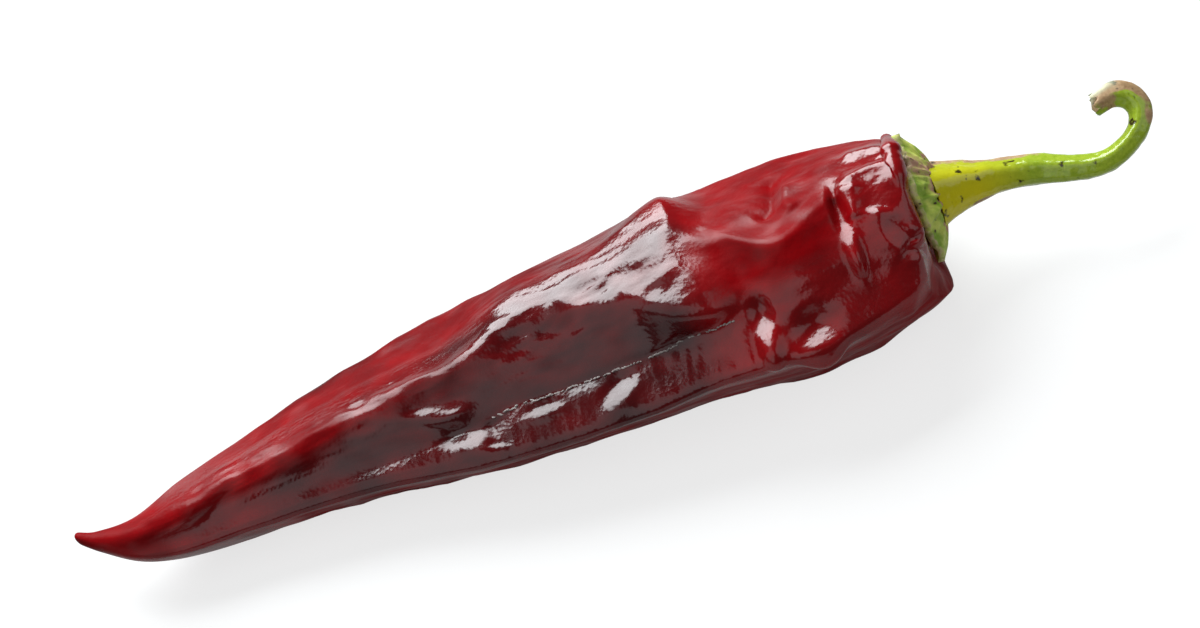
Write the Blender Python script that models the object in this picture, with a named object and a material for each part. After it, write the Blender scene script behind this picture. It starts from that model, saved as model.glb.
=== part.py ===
"""A dried red chilli pepper lying on its side.

Three grown pieces, each one closed solid: the leathery pod, the green calyx that caps its
shoulder and the hooked stem. The pod is modelled along +X from its tip to its shoulder with the
table at z = 0, and the whole pepper is then moved so that the middle of its footprint is the
origin. Stations are in millimetres, because that is how such a thing is measured.
"""

import math

import bpy
from mathutils import Vector

MM = 0.001

# The pod's outline. Each row: distance from the tip, sideways place of the middle, height of the
# middle, half width, half height, and how far the wall has fallen in, from 0 to 1.
POD_STATIONS = (
    (0.0, -5.2, 9.8, 0.9, 0.9, 0.0),
    (3.3, -6.6, 8.8, 1.7, 1.5, 0.0),
    (9.8, -8.0, 7.9, 4.0, 3.4, 0.1),
    (17.4, -6.7, 7.5, 6.8, 5.2, 0.3),
    (28.3, -4.7, 7.4, 8.7, 6.5, 0.6),
    (47.1, -2.2, 8.2, 12.0, 8.1, 0.85),
    (69.1, -1.7, 9.3, 15.9, 9.7, 1.0),
    (93.9, -1.2, 10.9, 17.7, 11.3, 1.0),
    (104.0, -0.9, 11.8, 17.8, 12.2, 0.9),
    (118.3, -1.6, 13.2, 18.6, 13.6, 0.65),
    (125.5, -1.3, 13.4, 17.9, 13.5, 0.55),
    (132.5, -0.4, 13.6, 16.4, 12.6, 0.4),
    (136.4, 0.1, 13.8, 14.8, 11.7, 0.25),
    (138.2, 0.4, 13.8, 13.5, 11.0, 0.15),
)
RING_POINTS = 60
RING_SPACING = 3.0
NUB_RINGS = (0.25, 0.7, 1.4, 2.3)  # close rings that round off the dried style at the tip

# The section of a wall that has fallen in all the way: its corners, to the left and up, in shares
# of the half width and half height. It has a flat top, a hollow side and a sharp lower edge.
FALLEN_CORNERS = (
    (1.0, -0.05),
    (0.875, 0.58),
    (0.625, 0.875),
    (0.28, 1.0),
    (-0.14, 0.93),
    (-0.575, 0.44),
    (-1.0, 0.24),
    (-0.98, 0.1),
    (-0.53, -1.0),
    (0.47, -1.0),
    (0.84, -0.65),
)
CORNER_ROUNDING = 4.0  # degrees

# Lengthwise furrows, where the inner walls hold the shrunken skin in. Each row: angle round the
# pod in degrees (0 is +Y, 90 is up), depth, half width in degrees, first and last distance.
FURROWS = (
    (143.0, 0.8, 8.0, 42.0, 118.0),
    (38.0, 1.1, 13.0, 30.0, 122.0),
    (332.0, 1.0, 12.0, 34.0, 112.0),
)
FURROW_FADE = 18.0

# Folds of the shoulder that stand out past the calyx. Each row: angle round the pod in degrees,
# reach along X and half width in degrees. They rise over the last stretch before the shoulder.
SHOULDER_FOLDS = (
    (244.0, 3.5, 34.0),
    (322.0, 1.8, 30.0),
)
FOLD_START = 120.0

# The shoulder ends in a low dome round the calyx's own axis, so that the calyx seats on it.
CALYX_Y = 3.2
CALYX_Z = 14.4
DOME_TOP = 141.0
DOME_CURVE = 27.0
DOME_RINGS = (10.1, 6.8, 3.4)
SEAT_GAP = 0.4

# The calyx: a dished, five-lobed cap with a round boss that the stem stands on.
CALYX_LOBES = 5
CALYX_RADIUS = 8.3
LOBE_REACH = 1.4
LOBE_TURN = 54.0
CALYX_EDGE = 1.5
BOSS_RADIUS = 5.3
BOSS_TOP = 143.4
CALYX_POINTS = 60

# The stem's middle line, from its flared foot, just clear of the boss, to its torn end. Each
# row: x, y, z and radius.
STEM_LINE = (
    (143.7, 3.0, 14.5, 4.9),
    (146.9, 2.8, 14.1, 3.8),
    (149.9, 3.5, 13.5, 3.0),
    (153.2, 3.8, 13.0, 2.45),
    (158.9, 3.2, 12.5, 2.35),
    (164.5, 1.2, 12.4, 1.95),
    (168.8, 0.3, 12.7, 1.75),
    (172.6, 1.4, 13.4, 1.6),
    (175.2, 3.4, 14.3, 1.65),
    (176.3, 6.0, 15.3, 1.85),
    (175.3, 8.1, 16.4, 2.0),
    (173.0, 8.8, 17.1, 1.95),
    (170.6, 8.2, 17.1, 1.7),
)
STEM_POINTS = 16
STEM_SPACING = 1.2


def clear_scene():
    for old in list(bpy.data.objects):
        bpy.data.objects.remove(old)


def between(rows, at):
    """The columns after the first at this value of the first, on a smooth curve through the rows."""
    last = len(rows) - 1
    i = max(k for k in range(last) if k == 0 or rows[k][0] <= at)
    span = rows[i + 1][0] - rows[i][0]
    t = min(max((at - rows[i][0]) / span, 0.0), 1.0)

    def slope(k, column):
        low, high = rows[max(k - 1, 0)], rows[min(k + 1, last)]
        return (high[column] - low[column]) / (high[0] - low[0])

    values = []
    for column in range(1, len(rows[0])):
        a, b = rows[i][column], rows[i + 1][column]
        leave, arrive = slope(i, column) * span, slope(i + 1, column) * span
        values.append(
            a * (2 * t**3 - 3 * t**2 + 1)
            + leave * (t**3 - 2 * t**2 + t)
            + b * (3 * t**2 - 2 * t**3)
            + arrive * (t**3 - t**2)
        )
    return values


def spaced(start, end, step):
    """Evenly spaced values from start to end, both included."""
    count = max(1, round((end - start) / step))
    return [start + (end - start) * k / count for k in range(count + 1)]


def turned(angle, other):
    """The signed difference of two angles in degrees, from -180 to 180."""
    return (angle - other + 180.0) % 360.0 - 180.0


def material(name, colour, roughness):
    made = bpy.data.materials.new(name)
    made.use_nodes = True
    shader = made.node_tree.nodes["Principled BSDF"]
    shader.inputs["Base Color"].default_value = (*colour, 1.0)
    shader.inputs["Roughness"].default_value = roughness
    shader.inputs["Metallic"].default_value = 0.0
    return made


def skin(name, rings, start, end, finish):
    """A closed mesh through rings of points, with its first ring fanned to start and its last to end."""
    count = len(rings[0])
    points = [start, *(p for ring in rings for p in ring), end]
    faces = [(0, 1 + (k + 1) % count, 1 + k) for k in range(count)]
    for r in range(len(rings) - 1):
        low, high = 1 + r * count, 1 + (r + 1) * count
        for k in range(count):
            after = (k + 1) % count
            faces.append((low + k, low + after, high + after, high + k))
    low = 1 + (len(rings) - 1) * count
    faces += [(low + k, low + (k + 1) % count, len(points) - 1) for k in range(count)]
    mesh = bpy.data.meshes.new(name)
    mesh.from_pydata([Vector(p) * MM for p in points], [], faces)
    mesh.shade_smooth()
    mesh.materials.append(finish)
    made = bpy.data.objects.new(name, mesh)
    bpy.context.scene.collection.objects.link(made)
    return made


def furrow_depth(x, angle):
    """How far the skin is drawn in at this distance from the tip and this angle."""
    depth = 0.0
    for middle, deepest, half_width, first, last in FURROWS:
        along = min((x - first) / FURROW_FADE, (last - x) / FURROW_FADE, 1.0)
        across = turned(angle, middle) / half_width
        depth += deepest * max(along, 0.0) * math.exp(-across * across)
    return depth


def fold_reach(x, angle):
    """How far a fold of the shoulder carries the skin along X."""
    rise = max(0.0, (x - FOLD_START) / (POD_STATIONS[-1][0] - FOLD_START))
    folds = (reach * math.exp(-((turned(angle, at) / width) ** 2)) for at, reach, width in SHOULDER_FOLDS)
    return rise * rise * sum(folds)


def fallen_share(angle):
    """How far out the fallen section lies at this angle, as a share of the round one."""
    c, s = math.cos(math.radians(angle)), math.sin(math.radians(angle))
    for (y, z), (next_y, next_z) in zip(FALLEN_CORNERS, FALLEN_CORNERS[1:] + FALLEN_CORNERS[:1]):
        edge_y, edge_z = next_y - y, next_z - z
        across = c * edge_z - s * edge_y
        if across > 0.0 and 0.0 <= y * s - z * c <= across:
            return (y * edge_z - z * edge_y) / across
    return 1.0


def pod_ring(x):
    """One section of the pod, with its underside flat where it rests on the table."""
    y, z, half_width, half_height, fallen = between(POD_STATIONS, x)
    ring = []
    for k in range(RING_POINTS):
        angle = 360.0 * k / RING_POINTS
        c, s = math.cos(math.radians(angle)), math.sin(math.radians(angle))
        shares = [fallen_share(angle + turn) for turn in (-CORNER_ROUNDING, 0.0, CORNER_ROUNDING)]
        share = 1.0 + fallen * (sum(shares) / 3.0 - 1.0)
        depth = furrow_depth(x, angle)
        out, up = (half_width * share - depth) * c, (half_height * share - depth) * s
        ring.append((x + fold_reach(x, angle), y + out, max(z + up, 0.0)))
    return ring


def dome_height(radius):
    """Where the shoulder's dome lies along X at this distance from the calyx's axis."""
    return DOME_TOP - radius * radius / (2.0 * DOME_CURVE)


def circle(x, radius, y, z, count):
    return [
        (x, y + radius * math.cos(turn), z + radius * math.sin(turn))
        for turn in (math.tau * k / count for k in range(count))
    ]


def make_pod():
    first, last = NUB_RINGS[-1], POD_STATIONS[-1][0]
    places = [*NUB_RINGS[:-1], *spaced(first, last, RING_SPACING)]
    rings = [pod_ring(x) for x in places]
    for radius in DOME_RINGS:
        rings.append(circle(dome_height(radius), radius, CALYX_Y, CALYX_Z, RING_POINTS))
    tip_y, tip_z = POD_STATIONS[0][1:3]
    start, end = (0.0, tip_y, tip_z), (DOME_TOP, CALYX_Y, CALYX_Z)
    return skin("pod", rings, start, end, material("dried_skin", (0.20, 0.010, 0.012), 0.32))


def calyx_edge(turn):
    """The calyx's outer radius in this direction, in degrees."""
    lobe = math.cos(math.radians(CALYX_LOBES * (turn - LOBE_TURN)))
    return CALYX_RADIUS + LOBE_REACH * lobe


def calyx_ring(share, lift):
    """A ring of the calyx at this share of its outer radius, this far above the shoulder's dome."""
    ring = []
    for k in range(CALYX_POINTS):
        turn = 360.0 * k / CALYX_POINTS
        radius = calyx_edge(turn) * share
        c, s = math.cos(math.radians(turn)), math.sin(math.radians(turn))
        ring.append((dome_height(radius) + lift, CALYX_Y + radius * c, CALYX_Z + radius * s))
    return ring


def make_calyx():
    under, over = SEAT_GAP, SEAT_GAP + CALYX_EDGE
    rings = [calyx_ring(share, under) for share in (0.35, 0.7, 1.0)]
    rings += [calyx_ring(share, over) for share in (1.0, 0.82)]
    rings.append(circle(BOSS_TOP - 0.5, BOSS_RADIUS + 0.6, CALYX_Y, CALYX_Z, CALYX_POINTS))
    rings.append(circle(BOSS_TOP, BOSS_RADIUS, CALYX_Y, CALYX_Z, CALYX_POINTS))
    start = (DOME_TOP + under, CALYX_Y, CALYX_Z)
    end = (BOSS_TOP, CALYX_Y, CALYX_Z)
    return skin("calyx", rings, start, end, material("green_calyx", (0.36, 0.42, 0.04), 0.5))


def stem_lengths():
    """How far along its middle line each row of the stem lies."""
    lengths = [0.0]
    for a, b in zip(STEM_LINE, STEM_LINE[1:]):
        lengths.append(lengths[-1] + math.dist(a[:3], b[:3]))
    return lengths


def make_stem():
    lengths = stem_lengths()
    rows = [(length, *row) for length, row in zip(lengths, STEM_LINE)]
    samples = [between(rows, at) for at in spaced(0.0, lengths[-1], STEM_SPACING)]
    middles = [Vector(sample[:3]) for sample in samples]
    side = Vector((0.0, 1.0, 0.0))
    rings = []
    for k, (middle, sample) in enumerate(zip(middles, samples)):
        ahead = middles[min(k + 1, len(middles) - 1)] - middles[max(k - 1, 0)]
        ahead = Vector((1.0, 0.0, 0.0)) if k == 0 else ahead.normalized()
        side = (side - ahead * side.dot(ahead)).normalized()
        up = ahead.cross(side)
        turns = [math.tau * n / STEM_POINTS for n in range(STEM_POINTS)]
        radius = sample[3]
        rings.append(
            [middle + (side * math.cos(t) + up * math.sin(t)) * radius for t in turns]
        )
    return skin("stem", rings, middles[0], middles[-1], material("green_stem", (0.33, 0.42, 0.03), 0.4))


def stand_on_origin(pieces):
    """Parents the pieces to an empty that puts the middle of their footprint at the origin."""
    points = [v.co for piece in pieces for v in piece.data.vertices]
    low = [min(p[axis] for p in points) for axis in range(3)]
    high = [max(p[axis] for p in points) for axis in range(3)]
    pepper = bpy.data.objects.new("pepper", None)
    bpy.context.scene.collection.objects.link(pepper)
    pepper.location = (-(low[0] + high[0]) / 2, -(low[1] + high[1]) / 2, -low[2])
    for piece in pieces:
        piece.parent = pepper


clear_scene()
stand_on_origin([make_pod(), make_calyx(), make_stem()])
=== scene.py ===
"""A dried red chilli pepper that lies on its side on a white table.

The pod is a thin leathery skin, shrunk and folded, with a glossy cuticle. A dry green calyx caps
its shoulder, and a hooked green stem grows out of the calyx.
"""

import math

import bpy
import numpy as np
from mathutils import Matrix, Vector, noise


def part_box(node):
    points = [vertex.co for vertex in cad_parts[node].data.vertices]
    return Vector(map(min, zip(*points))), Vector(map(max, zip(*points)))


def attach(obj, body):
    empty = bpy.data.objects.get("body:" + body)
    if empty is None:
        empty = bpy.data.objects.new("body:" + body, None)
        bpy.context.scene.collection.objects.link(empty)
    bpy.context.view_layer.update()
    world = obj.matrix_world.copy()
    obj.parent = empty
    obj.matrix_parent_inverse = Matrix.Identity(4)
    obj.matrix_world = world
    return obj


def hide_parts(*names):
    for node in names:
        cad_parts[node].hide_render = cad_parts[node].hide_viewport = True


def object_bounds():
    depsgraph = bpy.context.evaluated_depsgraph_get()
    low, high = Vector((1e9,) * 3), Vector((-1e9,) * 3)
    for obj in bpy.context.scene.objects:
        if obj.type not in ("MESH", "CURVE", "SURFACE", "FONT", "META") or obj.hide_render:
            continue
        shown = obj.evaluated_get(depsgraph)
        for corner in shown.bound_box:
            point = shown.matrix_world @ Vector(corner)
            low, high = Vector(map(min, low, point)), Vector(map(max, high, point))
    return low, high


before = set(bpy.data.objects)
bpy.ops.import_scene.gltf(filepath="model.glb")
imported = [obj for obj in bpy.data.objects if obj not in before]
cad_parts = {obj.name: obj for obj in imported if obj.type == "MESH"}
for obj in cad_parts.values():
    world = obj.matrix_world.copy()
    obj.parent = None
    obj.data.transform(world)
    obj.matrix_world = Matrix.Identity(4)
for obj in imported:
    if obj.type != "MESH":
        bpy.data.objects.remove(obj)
cad_low, cad_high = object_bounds()

MM = 0.001


# ---- The table, the lights and the camera -------------------------------------------------------
# A white table under one large softbox that stands behind the pepper, with a wide dim panel to its
# front left and a smaller one to its front right. The skin is glossy, so what it mirrors matters as
# much as what lights it. Lengths in this section are in metres.

TABLE_SIDE = 0.60
TABLE_GLOW, TABLE_GLOW_SEEN = 0.18, 0.72  # on the pepper, and to the camera
ROOM_GREY, BACKDROP_WHITE = 0.07, 0.98
DAYLIGHT = (0.93, 0.98, 1.0)
# Each light: azimuth and elevation in degrees, distance, width, height and radiance.
LIGHTS = {
    "key_softbox": (107.0, 40.0, 0.90, 0.75, 0.72, 10.5),
    "front_panel": (-145.0, 43.0, 1.20, 1.60, 1.56, 0.85),
    "fill_panel": (-15.0, 38.0, 1.20, 1.00, 1.00, 0.90),
}
LENS_LENGTH, SENSOR_WIDTH = 100.0, 36.0  # both in millimetres
CAMERA_AZIMUTH, CAMERA_ELEVATION, CAMERA_ROLL = -79.6, 50.0, 26.0
CAMERA_DISTANCE = 0.510
AIM_OFF_MIDDLE = Vector((0.0, 3.0, 0.6)) * MM


def towards(azimuth, elevation):
    """The unit vector in this direction: azimuth in degrees from +X, counter-clockwise."""
    turn, rise = math.radians(azimuth), math.radians(elevation)
    return Vector((math.cos(turn) * math.cos(rise), math.sin(turn) * math.cos(rise), math.sin(rise)))


def linear(hex_colour):
    """An sRGB hex colour as linear red, green, blue and an alpha of 1."""
    shares = [int(hex_colour[k : k + 2], 16) / 255.0 for k in (1, 3, 5)]
    return (*(s / 12.92 if s <= 0.04045 else ((s + 0.055) / 1.055) ** 2.4 for s in shares), 1.0)


def add(tree, kind, inputs=None, **settings):
    """A new node with these settings. Each input takes a value, or a socket to link from."""
    made = tree.nodes.new(kind)
    for name, value in settings.items():
        setattr(made, name, value)
    for name, value in (inputs or {}).items():
        if isinstance(value, bpy.types.NodeSocket):
            tree.links.new(value, made.inputs[name])
        else:
            made.inputs[name].default_value = value
    return made


def new_material(name):
    """An empty material: its node tree and its output node."""
    made = bpy.data.materials.new(name)
    made.use_nodes = True
    made.node_tree.nodes.clear()
    return made, made.node_tree, made.node_tree.nodes.new("ShaderNodeOutputMaterial")


def softbox(name, azimuth, elevation, distance, width, height, radiance):
    """A rectangular light of even brightness, which shows in the skin but not to the camera."""
    light = bpy.data.lights.new(name, "AREA")
    light.shape = "RECTANGLE"
    light.size, light.size_y = width, height
    light.energy = radiance * math.pi * width * height
    lamp = bpy.data.objects.new(name, light)
    out = towards(azimuth, elevation)
    lamp.matrix_world = Matrix.LocRotScale(aim + out * distance, out.to_track_quat("Z", "Y"), None)
    lamp.visible_camera = False
    light.color = DAYLIGHT
    bpy.context.scene.collection.objects.link(lamp)


def white_table():
    """Matt white acrylic. It glows, for the camera more than for the pepper, so that it shows nearly
    white and the shadow on it stays soft and pale."""
    made, tree, out = new_material("matt_white_acrylic")
    seen = add(tree, "ShaderNodeLightPath").outputs["Is Camera Ray"]
    glow = add(
        tree, "ShaderNodeMapRange", {"Value": seen, "To Min": TABLE_GLOW, "To Max": TABLE_GLOW_SEEN}
    ).outputs[0]
    surface = add(
        tree,
        "ShaderNodeBsdfPrincipled",
        {
            "Base Color": linear("#8e8e8e"),
            "Roughness": 0.9,
            "Specular IOR Level": 0.1,
            "Emission Color": linear("#ffffff"),
            "Emission Strength": glow,
        },
    )
    tree.links.new(surface.outputs[0], out.inputs["Surface"])
    return made


aim = (cad_low + cad_high) / 2.0 + AIM_OFF_MIDDLE
camera_data = bpy.data.cameras.new("camera")
camera_data.lens = LENS_LENGTH
camera_data.sensor_width = SENSOR_WIDTH
camera = bpy.data.objects.new("camera", camera_data)
bpy.context.scene.collection.objects.link(camera)
back = towards(CAMERA_AZIMUTH, CAMERA_ELEVATION)
level_right = Vector((-back.y, back.x, 0.0)).normalized()
level_up = back.cross(level_right)
roll = math.radians(CAMERA_ROLL)
right = level_right * math.cos(roll) - level_up * math.sin(roll)
up = level_right * math.sin(roll) + level_up * math.cos(roll)
facing = Matrix((right, up, back)).transposed().to_4x4()
camera.matrix_world = Matrix.Translation(aim + back * CAMERA_DISTANCE) @ facing
bpy.context.scene.camera = camera
bpy.context.scene.view_settings.view_transform = "Standard"

for name, sizes in LIGHTS.items():
    softbox(name, *sizes)

world = bpy.data.worlds.new("dim_room")
world.use_nodes = True
shade = world.node_tree.nodes["Background"]
seen = add(world.node_tree, "ShaderNodeLightPath").outputs["Is Camera Ray"]
tone = add(
    world.node_tree, "ShaderNodeMix", {0: seen, 2: ROOM_GREY, 3: BACKDROP_WHITE}, data_type="FLOAT"
)
world.node_tree.links.new(tone.outputs[0], shade.inputs["Color"])
bpy.context.scene.world = world

table_mesh = bpy.data.meshes.new("table")
half = TABLE_SIDE / 2.0
table_corners = [(-half, -half, 0), (half, -half, 0), (half, half, 0), (-half, half, 0)]
table_mesh.from_pydata(table_corners, [], [(0, 1, 2, 3)])
table_mesh.materials.append(white_table())
table = bpy.data.objects.new("table", table_mesh)
bpy.context.scene.collection.objects.link(table)


# ---- The pod ------------------------------------------------------------------------------------
# The ripe fruit wall, dried to a leathery skin about half a millimetre thick. It shrank onto the
# inner walls and the seeds, so it has lengthwise ridges, hollow sides and a crumpled shoulder.
# Places on it are millimetres from the tip, and degrees round the pod: 0 is +Y, 90 is up.

POD_AXIS_Y = 1.48  # the tip-to-shoulder line, from the middle of the pod's box
pod_low, pod_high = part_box("pod")
pod_origin = np.array([pod_low.x, (pod_low.y + pod_high.y) / 2.0 + POD_AXIS_Y * MM, 0.0])

# Distance from the tip, sideways place and height of the middle, half width, half height, and how
# far the wall has fallen in, from 0 to 1.
STATIONS = np.array((
    (0.0, -5.2, 9.8, 0.9, 0.9, 0.0),
    (3.3, -6.6, 8.8, 1.7, 1.5, 0.0),
    (9.8, -8.0, 7.9, 4.0, 3.4, 0.5),
    (17.4, -6.7, 7.5, 6.8, 5.2, 0.85),
    (28.3, -4.7, 7.4, 8.7, 6.5, 0.85),
    (47.1, -2.2, 8.2, 12.0, 8.1, 0.95),
    (69.1, -1.7, 9.3, 15.9, 9.7, 1.0),
    (93.9, -1.2, 10.9, 17.7, 11.3, 1.0),
    (104.0, -0.9, 11.8, 17.8, 12.2, 0.9),
    (118.3, -1.6, 13.2, 18.6, 13.6, 0.9),
    (125.5, -1.3, 13.4, 17.9, 13.5, 0.85),
    (132.5, -0.4, 13.6, 16.4, 12.6, 0.6),
    (136.4, 0.1, 13.8, 14.8, 11.7, 0.35),
    (138.2, 0.4, 13.8, 13.5, 11.0, 0.15),
))

# Corners of the fallen section, to the left and up, in shares of the half width and height: a roof
# that slopes to the back towards the tip, and a broad flat top from the middle on. The fifth corner
# follows the main ridge, so it stands in RIDGE and is filled in for each section.
SLIM = np.array((
    (1.0, -0.05), (1.08, 0.20), (0.55, 0.53), (-0.08, 0.92), (0.0, 0.0), (-0.60, 0.42),
    (-1.0, 0.22), (-0.98, 0.1), (-0.53, -1.0), (0.47, -1.0), (0.84, -0.65),
))
MIDDLE = np.array((
    (1.0, -0.05), (0.93, 0.48), (0.50, 0.90), (0.24, 0.99), (0.0, 0.0), (-0.575, 0.44),
    (-1.0, 0.24), (-0.98, 0.1), (-0.53, -1.0), (0.47, -1.0), (0.84, -0.65),
))
BROAD = np.array((
    (1.0, -0.05), (0.90, 0.60), (0.70, 0.87), (0.28, 0.99), (0.0, 0.0), (-0.575, 0.44),
    (-1.0, 0.24), (-0.98, 0.1), (-0.53, -1.0), (0.47, -1.0), (0.84, -0.65),
))
SHOULDER = np.array((
    (1.0, -0.05), (1.03, 0.30), (0.50, 0.70), (0.04, 0.94), (0.0, 0.0), (-0.64, 0.48),
    (-1.0, 0.24), (-0.98, 0.1), (-0.53, -1.0), (0.47, -1.0), (0.84, -0.65),
))
KNUCKLE = np.array((
    (1.0, -0.05), (1.03, 0.30), (0.42, 0.70), (-0.20, 0.93), (0.0, 0.0), (-0.70, 0.46),
    (-1.0, 0.24), (-0.98, 0.1), (-0.53, -1.0), (0.47, -1.0), (0.84, -0.65),
))
SECTIONS = (
    (62.0, SLIM), (78.0, MIDDLE), (88.0, MIDDLE), (102.0, BROAD),
    (110.0, SHOULDER), (119.0, KNUCKLE), (130.0, SHOULDER),
)
RIDGE_CORNER = 4
# The main ridge: distance from the tip, angle round the pod, and how far out it stands.
RIDGE = np.array((
    (0.0, 100.0, 0.94), (18.0, 122.0, 0.95), (26.0, 112.0, 0.95), (34.0, 110.0, 0.95),
    (44.0, 104.0, 0.95), (56.0, 98.0, 0.95), (68.0, 91.0, 0.96), (77.0, 81.0, 0.99),
    (83.0, 83.0, 0.99), (88.0, 93.0, 0.99), (94.0, 98.0, 1.0), (98.0, 109.0, 1.02),
    (103.0, 122.0, 1.03), (107.0, 126.0, 0.98), (112.0, 121.0, 0.80), (119.0, 127.0, 0.83),
    (131.0, 120.0, 0.84), (138.2, 112.0, 0.92),
))
# How many degrees each corner is rounded over on either side, at these distances from the tip.
CORNER_ROUNDING = ((52.0, 70.0, 104.0, 110.0), (6.0, 3.0, 3.0, 1.4))

# Folds of the shoulder that stand out past the calyx: angle, reach along X, half width in degrees.
SHOULDER_FOLDS = ((244.0, 3.5, 34.0), (322.0, 1.8, 30.0))
FOLD_START = 120.0

# The shoulder's dome under the calyx: its middle, the height and curve of its top, and the radii of
# the rings that it passes through.
CALYX_Y, CALYX_Z = 3.2, 14.4
DOME_TOP, DOME_CURVE = 141.0, 27.0
DOME_RADII = (10.1, 6.8, 3.4, 0.3)
DOME_START = 1.8  # how far before the last station its curve sets off

STYLE_KNOB = 0.9  # how long the round knob is in which the dried style ends
TIP_RINGS = (0.02, 0.12, 0.3, 0.55, 0.9, 1.25, 1.6, 2.0)
RINGS_STEP = 0.4
AROUND = 240
DOME_STEPS = 9


def bend(start, leave, end, arrive, t):
    """A point on the smooth curve from start to end that leaves and arrives with these slopes."""
    return (
        start * (2 * t**3 - 3 * t**2 + 1) + leave * (t**3 - 2 * t**2 + t)
        + end * (3 * t**2 - 2 * t**3) + arrive * (t**3 - t**2)
    )


def along(rows, at):
    """The other columns at these values of the first, on a smooth curve through the rows."""
    at = np.atleast_1d(np.asarray(at, float))
    places, values = rows[:, 0], rows[:, 1:]
    low = np.clip(np.arange(len(rows)) - 1, 0, None)
    high = np.clip(np.arange(len(rows)) + 1, None, len(rows) - 1)
    slopes = (values[high] - values[low]) / (places[high] - places[low])[:, None]
    i = np.clip(np.searchsorted(places, at, "right") - 1, 0, len(rows) - 2)
    span = (places[i + 1] - places[i])[:, None]
    t = np.clip((at - places[i])[:, None] / span, 0.0, 1.0)
    return bend(values[i], slopes[i] * span, values[i + 1], slopes[i + 1] * span, t)


def turned(angle, other):
    """The signed difference of two angles in degrees, from -180 to 180."""
    return (angle - other + 180.0) % 360.0 - 180.0


def fallen_share(x, angles):
    """How far out the fallen section at x lies at these angles, as a share of the round one."""
    ridge_angle, ridge_out = along(RIDGE, x)[0]
    turn = math.radians(ridge_angle)
    corners = SECTIONS[0][1].copy()
    for (start, _), (end, shape) in zip(SECTIONS, SECTIONS[1:]):
        t = min(max((x - start) / (end - start), 0.0), 1.0)
        corners += (shape - corners) * t * t * (3.0 - 2.0 * t)
    corners[RIDGE_CORNER] = ridge_out * math.cos(turn), ridge_out * math.sin(turn)
    corners = [tuple(corner) for corner in corners]
    c, s = np.cos(np.radians(angles)), np.sin(np.radians(angles))
    share = np.ones_like(angles)
    for (y, z), (next_y, next_z) in zip(corners, corners[1:] + corners[:1]):
        edge_y, edge_z = next_y - y, next_z - z
        across = c * edge_z - s * edge_y
        inside = (across > 1e-9) & (y * s - z * c >= 0.0) & (y * s - z * c <= across)
        share[inside] = (y * edge_z - z * edge_y) / across[inside]
    return share


def fold_reach(x, angles):
    """How far the shoulder's folds carry the skin along X."""
    rise = max(0.0, (x - FOLD_START) / (STATIONS[-1, 0] - FOLD_START))
    return rise**2 * sum(
        reach * np.exp(-((turned(angles, at) / width) ** 2)) for at, reach, width in SHOULDER_FOLDS
    )


def pod_ring(x, angles):
    """One section of the smooth pod, in millimetres."""
    y, z, half_width, half_height, fallen = along(STATIONS, x)[0]
    if x < STYLE_KNOB:
        round_off = math.sqrt(max(0.0, 1.0 - ((STYLE_KNOB - x) / STYLE_KNOB) ** 2))
        half_width, half_height = half_width * round_off, half_height * round_off
    rounding = np.interp(x, *CORNER_ROUNDING)
    shares = [fallen_share(x, angles + turn) for turn in (-rounding, 0.0, rounding)]
    share = 1.0 + fallen * (sum(shares) / 3.0 - 1.0)
    c, s = np.cos(np.radians(angles)), np.sin(np.radians(angles))
    across, up = y + half_width * share * c, z + half_height * share * s
    return np.stack([x + fold_reach(x, angles), across, np.maximum(up, 0.0)], axis=1)


def dome_height(radius):
    """How far along X the dome's surface lies at this distance from its middle."""
    return DOME_TOP - radius**2 / (2.0 * DOME_CURVE)


def round_ring(height, radius, degrees):
    """Points round the middle of the calyx, at this height along X and this radius."""
    turn = np.radians(degrees)
    height = height + np.zeros(len(turn))
    return np.stack([height, CALYX_Y + radius * np.cos(turn), CALYX_Z + radius * np.sin(turn)], axis=1)


angles = np.arange(AROUND) * 360.0 / AROUND
shoulder = STATIONS[-1, 0]
places = np.concatenate([TIP_RINGS, np.arange(TIP_RINGS[-1] + RINGS_STEP, shoulder + 0.01, RINGS_STEP)])
rings = [pod_ring(x, angles) for x in places]
dome = [pod_ring(shoulder - DOME_START, angles), rings[-1]]
dome += [round_ring(dome_height(radius), radius, angles) for radius in DOME_RADII]
dome.append(2 * dome[-1] - dome[-2])
for before, start, end, after in zip(dome, dome[1:], dome[2:], dome[3:]):
    leave, arrive = (end - before) / 2.0, (after - start) / 2.0
    rings += [bend(start, leave, end, arrive, k / DOME_STEPS) for k in range(1, DOME_STEPS + 1)]
smooth = np.array(rings)
# Each ring's distance from the tip; past the shoulder it goes on along the curve of the dome.
steps = np.linalg.norm(np.diff(smooth[len(places) - 1 :], axis=0), axis=2).mean(axis=1)
ring_x = np.concatenate([places, shoulder + np.cumsum(steps)])
X, A = np.meshgrid(ring_x, angles, indexing="ij")


def normals_of(grid):
    """The outward unit normal at each point of the skin."""
    down_the_pod = np.gradient(grid, axis=0)
    round_it = np.roll(grid, -1, axis=1) - np.roll(grid, 1, axis=1)
    out = np.cross(round_it, down_the_pod)
    return out / np.maximum(np.linalg.norm(out, axis=2, keepdims=True), 1e-12)


def skin_point(x, angle):
    """Where a place on the smooth skin is."""
    row = np.interp(x, ring_x, np.arange(len(ring_x)))
    column = (angle % 360.0) * AROUND / 360.0
    r, k = min(int(row), len(ring_x) - 2), int(column) % AROUND
    u, v, after = row - r, column - int(column), (k + 1) % AROUND
    return (
        (smooth[r, k] * (1 - v) + smooth[r, after] * v) * (1 - u)
        + (smooth[r + 1, k] * (1 - v) + smooth[r + 1, after] * v) * u
    )


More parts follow.
